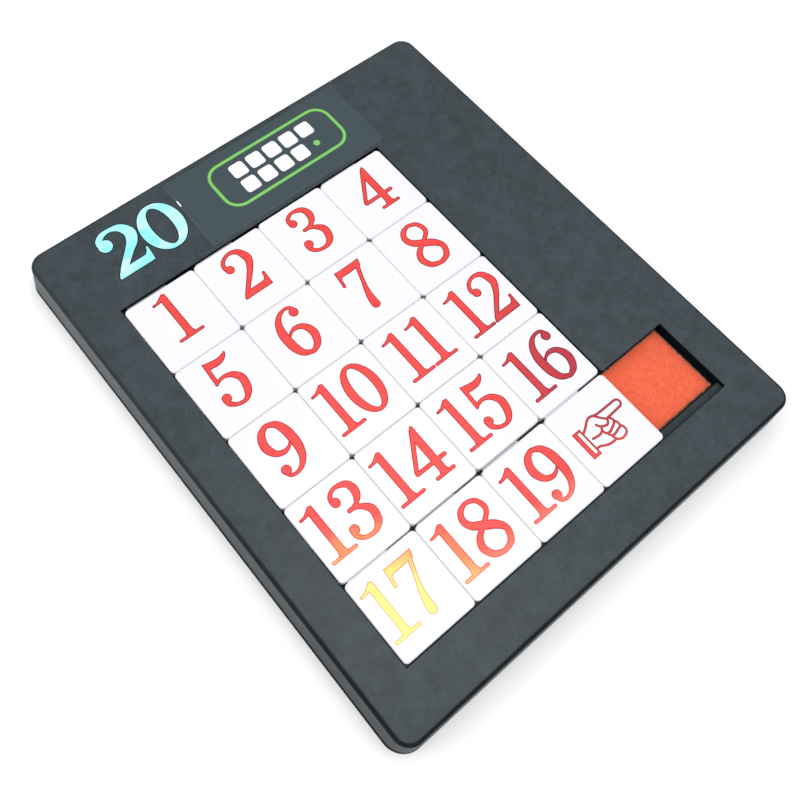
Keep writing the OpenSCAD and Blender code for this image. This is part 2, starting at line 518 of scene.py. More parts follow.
class Palette(Enum):
    """Every finish of the puzzle."""

    CASE = MouldedPlastic(
        "case_plastic", (0.004, 0.012, 0.017), (0.045, 0.064, 0.077), 0.42, 0.3, 0.02, 0.34
    )
    # Painted shade: a darker, duller copy of the case plastic for the walls inside the window,
    # where they lie in shadow.
    WELL = MouldedPlastic(
        "well_shade_plastic", (0.001, 0.007, 0.011), (0.002, 0.012, 0.018), 0.6, 0.4, 0.01, 0.0
    )
    TRAY = MouldedPlastic(
        "tray_plastic", (0.012, 0.018, 0.020), (0.022, 0.029, 0.031), 0.55, 0.45, 0.015
    )
    TILE = TilePlastic("tile_plastic", (0.83, 0.82, 0.85), (0.74, 0.73, 0.77))
    # After the face colour come the gold of the foil's painted highlight, the dark red of its
    # painted shade and brushed lines, and the tint of its painted highlight along the near edge.
    RED = HotFoil(
        "red_foil", (0.80, 0.058, 0.053), (1.0, 0.66, 0.17), (0.36, 0.022, 0.042), (1.0, 0.30, 0.19)
    )
    RED_RIM = HotFoil(
        "red_foil_rim", (0.30, 0.008, 0.014), (0.85, 0.24, 0.10), (0.10, 0.004, 0.016),
        (0.85, 0.15, 0.11), metallic=0.92,
    )
    ICE = IceFoil("ice_foil", (0.27, 0.86, 0.87), (0.57, 0.93, 0.97), (0.50, 0.76, 0.97))
    ICE_RIM = IceFoil(
        "ice_foil_rim", (0.002, 0.008, 0.010), (0.003, 0.012, 0.014), (0.002, 0.006, 0.010)
    )
    FILM = PrintedFilm("sticker_film", (0.013, 0.034, 0.043), (0.021, 0.047, 0.058), 0.34)
    FILM_EDGE = PrintedFilm("sticker_edge", (0.065, 0.092, 0.10), (0.10, 0.13, 0.14), 0.4)
    GREEN = PrintedFilm("green_ink", (0.20, 0.56, 0.12), (0.16, 0.47, 0.09))
    GREEN_RIM = PrintedFilm("green_ink_rim", (0.03, 0.16, 0.03), (0.02, 0.12, 0.03))
    WHITE = PrintedFilm("white_ink", (0.90, 0.90, 0.92), (0.82, 0.83, 0.86))
    FELT = WoolFelt("orange_felt", (1.0, 0.11, 0.032), (1.0, 0.38, 0.17), (0.66, 0.050, 0.012))
    FUZZ = WoolFelt("felt_fibre", (1.0, 0.30, 0.12), (1.0, 0.55, 0.30), (0.9, 0.2, 0.06))
    FLOOR = StudioPaper("studio_paper", (0.97, 0.97, 0.97))


class Finishes:
    """Makes each material once."""

    _made: dict[Palette, bpy.types.Material] = {}

    @classmethod
    def get(cls, choice: Palette) -> bpy.types.Material:
        """The material of a finish, made when it is first asked for."""
        if choice not in cls._made:
            cls._made[choice] = choice.value.make()
        return cls._made[choice]


# -------------------------------------------------------------------- meshes


def new_piece(name: str, mesh: bpy.types.Mesh, finishes: Sequence[Palette]) -> bpy.types.Object:
    """Puts a mesh in the scene as a piece.

    Args:
        name: The piece's name.
        mesh: Its mesh, in metres.
        finishes: Its materials in the order of the faces' material numbers.

    Returns:
        The piece's object.
    """
    mesh.name = name
    for choice in finishes:
        mesh.materials.append(Finishes.get(choice))
    piece = bpy.data.objects.new(name, mesh)
    bpy.context.scene.collection.objects.link(piece)
    return piece


def mount(piece: bpy.types.Object, body: str, node: str | None = None) -> None:
    """Hangs a piece on the body that carries it and hides the CAD node that it stands for.

    Args:
        piece: The piece.
        body: The CAD body that carries it.
        node: The CAD node that it replaces, if any.
    """
    if node:
        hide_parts(node)
    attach(piece, body)


def box_mm(node: str) -> tuple[Vector, Vector]:
    """A CAD node's lowest and highest corner, in millimetres."""
    low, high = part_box(node)
    return low / MM, high / MM


def to_mesh(bm: bmesh.types.BMesh, scale: float = MM) -> bpy.types.Mesh:
    """Turns a bmesh into a mesh and frees it.

    Args:
        bm: The bmesh.
        scale: What its units are turned into.

    Returns:
        The mesh.
    """
    bmesh.ops.scale(bm, vec=(scale, scale, scale), verts=bm.verts)
    mesh = bpy.data.meshes.new("shape")
    bm.to_mesh(mesh)
    bm.free()
    return mesh


def settle(piece: bpy.types.Object, sharp: float = 35.0) -> None:
    """Shades a piece smooth, with sharp edges kept and flat faces left flat.

    Args:
        piece: The piece.
        sharp: Edges that turn by more than this many degrees stay sharp.
    """
    for face in piece.data.polygons:
        face.use_smooth = True
    piece.data.set_sharp_from_angle(angle=math.radians(sharp))
    weighted = piece.modifiers.new("even normals", "WEIGHTED_NORMAL")
    weighted.keep_sharp = True
    weighted.mode = "FACE_AREA"


def softened_copy(node: str, width: float, segments: int, chosen: EdgeTest) -> bpy.types.Mesh:
    """Copies a CAD node's mesh, welds it and rounds some of its edges.

    Args:
        node: The node's name.
        width: How far the rounding reaches, in millimetres.
        segments: Number of faces across a rounded edge.
        chosen: Says which edges are rounded.

    Returns:
        The new mesh, in metres.
    """
    bm = bmesh.new()
    bm.from_mesh(frame["nodes"][node].data)
    bmesh.ops.scale(bm, vec=(1 / MM, 1 / MM, 1 / MM), verts=bm.verts)
    bmesh.ops.remove_doubles(bm, verts=bm.verts, dist=0.0005)
    bmesh.ops.dissolve_limit(
        bm, angle_limit=math.radians(0.5), verts=bm.verts, edges=bm.edges, delimit=set()
    )
    edges = [edge for edge in bm.edges if len(edge.link_faces) == 2 and chosen(edge)]
    bmesh.ops.bevel(
        bm,
        geom=edges,
        offset=width,
        segments=segments,
        profile=0.5,
        affect="EDGES",
        material=-1,
        clamp_overlap=True,
    )
    return to_mesh(bm)


def at_level(edge: bmesh.types.BMEdge, level: float) -> bool:
    """Whether an edge lies at a height, in millimetres."""
    return all(abs(vert.co.z - level) < 0.003 for vert in edge.verts)


def turns(edge: bmesh.types.BMEdge, least: float = 20.0) -> bool:
    """Whether the faces at an edge meet at an angle of at least so many degrees."""
    return edge.calc_face_angle(0.0) > math.radians(least)


def rim_at(level: float) -> EdgeTest:
    """A test for the edges round a flat face at a height, in millimetres."""
    return lambda edge: at_level(edge, level) and turns(edge, 60.0)


# ------------------------------------------------------------- flat lettering


@dataclass(frozen=True)
class Knot:
    """A point on a stroke's middle line and the stroke's width there."""

    x: float
    y: float
    width: float

    def mixed(self, other: Knot, share: float) -> Knot:
        """The knot part of the way to another."""
        return Knot(
            self.x + (other.x - self.x) * share,
            self.y + (other.y - self.y) * share,
            self.width + (other.width - self.width) * share,
        )


def hermite(a: Knot, b: Knot, c: Knot, d: Knot, share: float) -> Knot:
    """A point between b and c on the smooth curve through four knots.

    Args:
        a: The knot before b.
        b: Where the stretch starts.
        c: Where the stretch ends.
        d: The knot after c.
        share: How far along the stretch the point is, from 0 to 1.

    Returns:
        The point, with the width there.
    """
    low = a.mixed(b, share + 1.0)
    middle = b.mixed(c, share)
    high = c.mixed(d, share - 1.0)
    return low.mixed(middle, (share + 1.0) / 2.0).mixed(middle.mixed(high, share / 2.0), share)


class Shape:
    """A flat shape that can be drawn slightly smaller than it is."""

    def draw(self, bm: bmesh.types.BMesh, inset: float) -> None:
        """Adds the shape's flat faces to a bmesh.

        Args:
            bm: The bmesh, in millimetres.
            inset: How far its outline is drawn in.
        """
        raise NotImplementedError


@dataclass(frozen=True)
class Disc(Shape):
    """A round dot."""

    x: float
    y: float
    radius: float

    def draw(self, bm: bmesh.types.BMesh, inset: float) -> None:
        """Adds the dot."""
        bmesh.ops.create_circle(
            bm,
            cap_ends=True,
            radius=self.radius - inset,
            segments=28,
            matrix=Matrix.Translation((self.x, self.y, 0.0)),
        )


@dataclass(frozen=True)
class Stroke(Shape):
    """A pen stroke whose width swells and thins between its knots."""

    knots: tuple[Knot, ...]
    closed: bool = False
    steps: int = 6
    round_ends: bool = False

    def line(self) -> list[Knot]:
        """The stroke's middle line, drawn finely."""
        knots = self.knots
        count = len(knots)
        if count == 2:
            return list(knots)
        points: list[Knot] = []
        for index in range(count if self.closed else count - 1):
            if self.closed:
                a, b, c, d = (knots[(index + shift) % count] for shift in (-1, 0, 1, 2))
            else:
                b, c = knots[index], knots[index + 1]
                a = knots[index - 1] if index > 0 else c.mixed(b, 2.0)
                d = knots[index + 2] if index + 2 < count else b.mixed(c, 2.0)
            points += [hermite(a, b, c, d, step / self.steps) for step in range(self.steps)]
        return points if self.closed else [*points, knots[-1]]

    def sides(self, inset: float) -> list[tuple[Vector, Vector]]:
        """The stroke's left and right side, point by point.

        Args:
            inset: How far both sides and open ends are drawn in.

        Returns:
            Pairs of points.
        """
        line = self.line()
        last = len(line) - 1
        pairs = []
        for index, knot in enumerate(line):
            before = line[index - 1] if self.closed or index > 0 else knot
            after = line[(index + 1) % len(line)] if self.closed or index < last else knot
            along = Vector((after.x - before.x, after.y - before.y, 0.0)).normalized()
            across = Vector((-along.y, along.x, 0.0)) * max(knot.width / 2.0 - inset, 0.06)
            here = Vector((knot.x, knot.y, 0.0))
            if not (self.closed or self.round_ends):
                here += along * inset * ((index == 0) - (index == last))
            pairs.append((here + across, here - across))
        return [*pairs, pairs[0]] if self.closed else pairs

    def draw(self, bm: bmesh.types.BMesh, inset: float) -> None:
        """Pulls an edge along the middle line."""
        pairs = self.sides(inset)
        left, right = (bm.verts.new(point) for point in pairs[0])
        edge = bm.edges.new((left, right))
        for left_point, right_point in pairs[1:]:
            made = bmesh.ops.extrude_edge_only(bm, edges=[edge])["geom"]
            ends = [part for part in made if isinstance(part, bmesh.types.BMVert)]
            swapped = bm.edges.get((left, ends[0])) is None
            left, right = (ends[1], ends[0]) if swapped else (ends[0], ends[1])
            left.co, right.co = left_point, right_point
            edge = bm.edges.get((left, right))
        if self.round_ends and not self.closed:
            for knot in (self.knots[0], self.knots[-1]):
                Disc(knot.x, knot.y, knot.width / 2.0).draw(bm, inset)


@dataclass(frozen=True)
class Plate(Shape):
    """A flat shape with straight sides, given anticlockwise."""

    corners: tuple[Point, ...]

    def draw(self, bm: bmesh.types.BMesh, inset: float) -> None:
        """Adds the shape, drawn in along its corners' bisectors."""
        count = len(self.corners)
        verts = []
        for index, corner in enumerate(self.corners):
            here = Vector(corner)
            back = (here - Vector(self.corners[index - 1])).normalized()
            ahead = (Vector(self.corners[(index + 1) % count]) - here).normalized()
            inward = Vector((-back.y, back.x)) + Vector((-ahead.y, ahead.x))
            shift = inward / max(1.0 + back.dot(ahead), 0.35)
            verts.append(bm.verts.new((*(here + shift * inset), 0.0)))
        bm.faces.new(verts)


def bar(x0: float, y0: float, x1: float, y1: float, width: float) -> Stroke:
    """A straight bar with round ends."""
    return Stroke((Knot(x0, y0, width), Knot(x1, y1, width)), round_ends=True)


def stroke(*knots: tuple[float, float, float], closed: bool = False, steps: int = 6) -> Stroke:
    """A stroke through knots given as x, y and width."""
    return Stroke(tuple(Knot(*knot) for knot in knots), closed, steps)


def oval(x: float, y: float, wide: float, tall: float, thin: float, thick: float) -> Stroke:
    """An upright ring that is thin at top and bottom and thick at its sides.

    Args:
        x: Middle.
        y: Middle.
        wide: Half of its outer width.
        tall: Half of its outer height.
        thin: Width of the line at top and bottom.
        thick: Width of the line at the sides.

    Returns:
        The ring as a closed stroke.
    """
    knots = []
    for step in range(16):
        angle = step * math.tau / 16
        side = abs(math.cos(angle)) ** 1.4
        width = thin + (thick - thin) * side
        knots.append(
            Knot(
                x + (wide - thick / 2) * math.cos(angle),
                y + (tall - thin / 2) * math.sin(angle),
                width,
            )
        )
    return Stroke(tuple(knots), closed=True, steps=4)


@dataclass(frozen=True)
class Sign:
    """A sign made of shapes that run into one another."""

    shapes: tuple[Shape, ...]

    def outline(self, inset: float) -> bpy.types.Mesh:
        """The sign as one flat-topped slab, 1 mm thick, below its own plane.

        Args:
            inset: How far its outline is drawn in, in millimetres.

        Returns:
            The slab's mesh, in millimetres.
        """
        parts = []
        for shape in self.shapes:
            bm = bmesh.new()
            shape.draw(bm, inset)
            bmesh.ops.remove_doubles(bm, verts=bm.verts, dist=0.0005)
            bmesh.ops.recalc_face_normals(bm, faces=bm.faces)
            raised = bmesh.ops.extrude_face_region(bm, geom=bm.faces[:])["geom"]
            tops = [part for part in raised if isinstance(part, bmesh.types.BMVert)]
            bmesh.ops.translate(bm, vec=(0.0, 0.0, -1.0), verts=tops)
            bmesh.ops.recalc_face_normals(bm, faces=bm.faces)
            parts.append(to_mesh(bm, 1.0))
        return join_shapes(parts)


def join_shapes(parts: Sequence[bpy.types.Mesh]) -> bpy.types.Mesh:
    """Unites slabs that overlap into one closed slab.

    Args:
        parts: The slabs.

    Returns:
        One mesh without inner walls.
    """
    slabs = [bpy.data.objects.new("slab", part) for part in parts]
    base, others = slabs[0], bpy.data.collections.new("other_slabs")
    bpy.context.scene.collection.objects.link(base)
    bpy.context.scene.collection.children.link(others)
    for slab in slabs[1:]:
        others.objects.link(slab)
    union = base.modifiers.new("union", "BOOLEAN")
    union.operation = "UNION"
    union.solver = "EXACT"
    union.use_self = True
    union.operand_type = "COLLECTION"
    union.collection = others
    graph = bpy.context.evaluated_depsgraph_get()
    mesh = bpy.data.meshes.new_from_object(base.evaluated_get(graph))
    for slab in slabs:
        data = slab.data
        bpy.data.objects.remove(slab)
        bpy.data.meshes.remove(data)
    bpy.data.collections.remove(others)
    bm = bmesh.new()
    bm.from_mesh(mesh)
    bmesh.ops.remove_doubles(bm, verts=bm.verts, dist=0.0005)
    bmesh.ops.dissolve_limit(
        bm, angle_limit=math.radians(0.3), verts=bm.verts, edges=bm.edges, delimit=set()
    )
    bmesh.ops.recalc_face_normals(bm, faces=bm.faces)
    bm.to_mesh(mesh)
    bm.free()
    return mesh


class Digits:
    """The digits, left side at 0 and foot on the base line; a nine is a turned six."""

    SHAPES: dict[str, tuple[Shape, ...]] = {
        "0": (oval(5.3, 8.0, 5.3, 8.27, 1.3, 2.65),),
        "1": (
            bar(0.5, 0.55, 7.9, 0.55, 1.05),
            stroke((4.2, 0.3, 2.4), (4.2, 15.3, 2.3)),
            stroke((4.2, 0.8, 4.4), (4.2, 1.25, 3.1), (4.2, 2.2, 2.4)),
            stroke((0.6, 14.3, 0.8), (2.0, 14.45, 0.95), (3.3, 14.9, 1.4), (4.3, 15.4, 1.6)),
            stroke((4.35, 15.0, 2.0), (4.6, 15.7, 1.5), (4.75, 16.2, 1.2)),
            Disc(0.55, 14.3, 0.4),
            Disc(4.35, 15.25, 0.95),
        ),
        "2": (
            Disc(2.1, 11.1, 1.42),
            stroke(
                (1.3, 11.5, 1.5), (1.25, 13.1, 1.4), (2.5, 14.9, 1.2), (5.05, 15.75, 1.25),
                (7.5, 14.8, 2.0), (8.65, 12.0, 2.65), (8.35, 10.1, 2.3), (6.8, 7.65, 1.85),
                (4.6, 5.2, 1.6), (2.5, 2.85, 1.5), (0.9, 1.0, 1.4),
            ),
            Plate(
                (
                    (0.0, 0.1), (9.6, 0.1), (9.7, 1.9), (9.9, 4.8), (9.5, 5.05), (9.0, 4.9),
                    (8.7, 3.5), (8.1, 2.65), (7.4, 2.45), (2.9, 2.45), (1.6, 2.8), (0.0, 0.8),
                )
            ),
        ),
        "3": (
            Disc(2.2, 12.5, 1.42),
            stroke(
                (1.35, 12.8, 1.2), (1.75, 14.3, 1.35), (3.1, 15.5, 1.2), (4.95, 15.8, 1.25),
                (7.5, 14.85, 2.0), (8.4, 12.7, 2.45), (7.8, 10.5, 2.1), (6.3, 9.1, 1.3),
                (5.0, 8.75, 1.0),
            ),
            bar(3.7, 8.55, 6.4, 8.55, 1.3),
            stroke(
                (5.0, 8.35, 0.9), (6.6, 7.85, 1.5), (8.4, 6.2, 2.3), (8.8, 4.5, 2.45),
                (8.1, 2.1, 2.3), (6.5, 0.65, 1.7), (4.6, 0.28, 1.27), (2.5, 0.75, 1.3),
                (1.15, 2.1, 1.6), (0.85, 3.7, 1.6),
            ),
            Disc(1.6, 3.95, 1.45),
        ),
        "4": (
            stroke((0.65, 4.95, 1.3), (7.65, 15.2, 1.5)),
            Plate(((6.0, 0.2), (8.4, 0.2), (8.6, 16.1), (8.0, 16.4), (7.6, 16.1), (6.0, 13.8))),
            bar(0.75, 4.7, 10.4, 4.7, 1.3),
            bar(4.2, 0.5, 10.0, 0.5, 1.1),
            stroke((7.2, 0.8, 3.8), (7.2, 1.2, 3.0), (7.2, 1.9, 2.4)),
        ),
        "5": (
            Disc(1.5, 3.8, 1.43),
            stroke(
                (1.9, 8.9, 0.9), (3.0, 9.35, 1.1), (4.8, 9.55, 1.2), (7.0, 8.7, 1.9),
                (8.4, 6.8, 2.4), (8.5, 5.0, 2.45), (7.8, 2.6, 2.3), (6.4, 0.8, 1.6),
                (4.7, 0.25, 1.2), (2.7, 0.75, 1.3), (1.2, 2.1, 1.7), (0.85, 3.5, 1.6),
            ),
            stroke(
                (2.0, 14.8, 2.5), (4.0, 14.45, 2.35), (6.0, 14.25, 2.2), (7.6, 14.6, 1.8),
                (8.8, 15.3, 1.1), (9.3, 15.95, 0.5),
            ),
            Plate(((1.3, 8.25), (2.2, 8.25), (2.75, 9.7), (3.1, 15.7), (1.8, 16.2))),
        ),
        "6": (
            stroke(
                (9.0, 14.3, 1.0), (8.1, 15.5, 1.15), (6.3, 15.8, 1.1), (4.2, 15.0, 1.5),
                (2.4, 12.9, 2.1),
                (1.5, 9.9, 2.75), (1.4, 6.9, 2.9), (1.7, 4.1, 2.75), (2.8, 1.6, 2.1),
                (5.1, 0.4, 1.4),
                (5.9, 0.45, 1.4),
            ),
            stroke(
                (4.6, 0.45, 1.4), (5.4, 0.4, 1.4), (7.5, 1.5, 2.1), (8.8, 3.9, 2.5),
                (8.8, 6.3, 2.5),
                (7.6, 8.4, 1.9), (5.6, 9.2, 1.5), (3.8, 8.8, 1.0), (2.6, 7.9, 0.8),
            ),
            Disc(8.35, 13.55, 1.47),
        ),
        "7": (
            stroke(
                (8.5, 15.4, 1.5), (7.6, 13.0, 1.4), (6.3, 9.6, 1.25), (5.2, 6.5, 1.7),
                (4.5, 3.6, 2.4), (4.3, 1.4, 2.8),
            ),
            Disc(4.3, 1.3, 1.42),
            Plate(
                (
                    (0.05, 10.9), (0.6, 10.6), (1.1, 10.9), (1.5, 13.4), (2.1, 13.85), (4.9, 13.75),
                    (7.4, 13.9), (9.1, 14.0), (9.7, 15.6), (9.75, 16.35), (7.9, 16.25),
                    (2.4, 16.25), (0.8, 16.4), (0.4, 12.9),
                )
            ),
        ),
        "8": (
            stroke(
                (5.9, 15.85, 1.25), (4.9, 15.85, 1.3), (2.75, 14.8, 1.75), (1.8, 12.6, 2.05),
                (2.75, 10.4, 2.3), (5.35, 8.6, 2.6), (8.15, 6.8, 2.5), (9.7, 4.3, 1.95),
                (8.45, 1.4, 1.9), (6.0, 0.4, 1.5), (4.9, 0.4, 1.5),
            ),
            stroke(
                (5.8, 0.4, 1.5), (4.7, 0.45, 1.55), (2.35, 1.5, 1.95), (1.13, 4.2, 2.25),
                (2.25, 6.7, 1.9), (4.55, 8.2, 1.4), (6.85, 9.6, 1.4), (8.55, 11.0, 1.5),
                (9.0, 12.7, 1.65), (8.05, 14.9, 1.5), (6.0, 15.85, 1.25), (5.0, 15.87, 1.25),
            ),
        ),
    }


@dataclass(frozen=True)
class HeadingDigits:
    """The two bold digits of the heading, placed from the field's upper left corner."""

    TWO: tuple[Shape, ...] = (
        Disc(8.1, 20.85, 2.45),
        stroke(
            (6.6, 21.4, 1.9), (7.3, 23.3, 2.5), (9.2, 24.7, 2.3), (12.0, 24.95, 1.95),
            (14.9, 23.8, 3.2), (16.4, 20.8, 4.1), (15.4, 18.0, 3.9), (13.3, 15.9, 3.2),
            (10.6, 13.4, 2.9), (8.2, 11.1, 2.6), (6.6, 9.6, 1.9),
        ),
        Plate(
            (
                (5.3, 8.3), (17.6, 8.3), (17.9, 10.0), (18.2, 13.7), (17.8, 14.0), (17.2, 13.9),
                (16.6, 12.5), (15.8, 11.7), (10.0, 11.7), (6.2, 10.8), (5.3, 9.2),
            )
        ),
    )
    ZERO: tuple[Shape, ...] = (oval(25.4, 16.8, 7.2, 8.9, 1.9, 4.25),)


class HandShapes:
    """The pointing hand's lines, from the lower left corner of its tile."""

    LINE = 0.68
    PATHS: tuple[tuple[Point, ...], ...] = (
        ((6.3, 15.0), (8.2, 16.0), (9.9, 17.1), (11.2, 17.45), (12.4, 17.2)),
        ((12.3, 17.1), (14.0, 16.8), (17.5, 16.7), (20.6, 16.65), (21.5, 16.2), (21.7, 15.5),
         (21.4, 14.8), (20.6, 14.45), (17.5, 14.25), (14.9, 14.15)),
        ((12.4, 17.1), (13.3, 15.9), (14.2, 14.8), (14.8, 14.1), (14.6, 13.4), (14.0, 12.9),
         (13.2, 12.9), (12.2, 13.4), (11.6, 13.8), (11.15, 14.7)),
        ((7.5, 12.4), (8.8, 12.15), (10.3, 12.1), (11.3, 12.6), (11.8, 13.2)),
        ((11.3, 12.2), (11.6, 11.3), (12.6, 10.9), (13.8, 11.2), (15.4, 11.9), (16.1, 12.6),
         (15.9, 13.5), (15.4, 14.0)),
        ((16.3, 12.2), (16.6, 11.2), (16.2, 10.3), (15.0, 10.0), (13.4, 9.6), (12.4, 9.8),
         (12.0, 10.7)),
        ((16.6, 10.4), (17.0, 9.3), (16.7, 8.2), (15.6, 7.6), (14.3, 7.5), (13.2, 7.9), (12.6, 8.7),
         (12.4, 9.6)),
        ((6.3, 9.75), (7.7, 9.6), (9.2, 8.8), (10.8, 8.4), (12.9, 8.35)),
    )

    @classmethod
    def shapes(cls) -> tuple[Shape, ...]:
        """Cuff, back of the hand, pointing finger, thumb and curled fingers."""
        cuff = (
            Plate(((3.45, 7.95), (4.9, 7.95), (4.9, 16.7), (3.45, 16.7))),
            Plate(((5.9, 7.95), (6.45, 7.95), (6.45, 16.7), (5.9, 16.7))),
            Plate(((4.5, 7.95), (6.2, 7.95), (6.2, 8.9), (4.5, 8.9))),
            Plate(((4.5, 16.0), (6.2, 16.0), (6.2, 16.7), (4.5, 16.7))),
        )
        lines = tuple(
            Stroke(tuple(Knot(x, y, cls.LINE) for x, y in path), round_ends=True)
            for path in cls.PATHS
        )
        return (*cuff, *lines)


@dataclass
class FoilSign:
    """A stamped or printed sign: a thin slab with a slightly darker rim."""

    shapes: tuple[Shape, ...]
    rim_width: float = 0.26
    rise: float = 0.03
    sink: float = 0.02
    step: float = 0.015
    _slabs: tuple[bpy.types.Mesh, ...] = field(default_factory=tuple)

    def slabs(self) -> tuple[bpy.types.Mesh, ...]:
        """The rim's slab and the smaller slab of the face, made once."""
        if not self._slabs:
            sign = Sign(self.shapes)
            self._slabs = (sign.outline(0.0), sign.outline(self.rim_width))
        return self._slabs

    def add(self, bm: bmesh.types.BMesh, place: Matrix, level: float) -> None:
        """Adds the sign to a bmesh.

        Args:
            bm: The bmesh, in millimetres.
            place: Turns and moves the sign in its plane.
            level: Height of the surface that it lies on.
        """
        for number, slab in enumerate(self.slabs()):
            top = level + self.rise + number * self.step
            bottom = level - self.sink + number * self.step
            copy = slab.copy()
            copy.transform(place)
            old = set(bm.verts)
            faces = set(bm.faces)
            bm.from_mesh(copy)
            bpy.data.meshes.remove(copy)
            for vert in set(bm.verts) - old:
                vert.co.z = top if vert.co.z > -0.5 else bottom
            for face in set(bm.faces) - faces:
                face.material_index = number


# ---------------------------------------------------------------- sub-assemblies


@dataclass
class CaseShell:
    """The moulded case: leaning walls, rounded edges and the L-shaped window."""

    node: str = "case_frame"
    soft_edge: float = 0.32
    rim: float = 5.0

    def build(self) -> None:
        """Makes the case from its CAD node, with its window's edges softened."""
        low, high = box_mm(self.node)
        top = high.z

        def window_edge(edge: bmesh.types.BMEdge) -> bool:
            """Whether an edge belongs to the window in the top face."""
            inside = all(
                low.x + self.rim < vert.co.x < high.x - self.rim
                and low.y + self.rim < vert.co.y < high.y - self.rim
                for vert in edge.verts
            )
            return inside and at_level(edge, top) and turns(edge)

        mesh = softened_copy(self.node, self.soft_edge, 4, window_edge)
        piece = new_piece("case_shell", mesh, [Palette.CASE, Palette.WELL])
        # Faces inside the window take the darker copy of the plastic, as painted shade on the inner
        # walls.
        for face in mesh.polygons:
            middle = face.center / MM
            within = abs(middle.x) < high.x - self.rim and abs(middle.y) < high.y - self.rim
            if within and middle.z < top - self.soft_edge and face.normal.z < 0.5:
                face.material_index = 1
        settle(piece, 25.0)
        mount(piece, CASE_BODY, self.node)
        LOG.info("case shell, top at %.2f mm", top)


@dataclass
class InnerParts:
    """Tray floor and base plate, with their CAD shapes and softened edges."""

    def build(self) -> None:
        """Makes both plates."""
        plates = (("tray_floor", "tray_bed", 1), ("base_plate", "base_cover", 0))
        for node, name, open_side in plates:
            level = box_mm(node)[open_side].z
            piece = new_piece(name, softened_copy(node, 0.2, 2, rim_at(level)), [Palette.TRAY])
            settle(piece)
            mount(piece, CASE_BODY, node)
            LOG.info("%s", name)


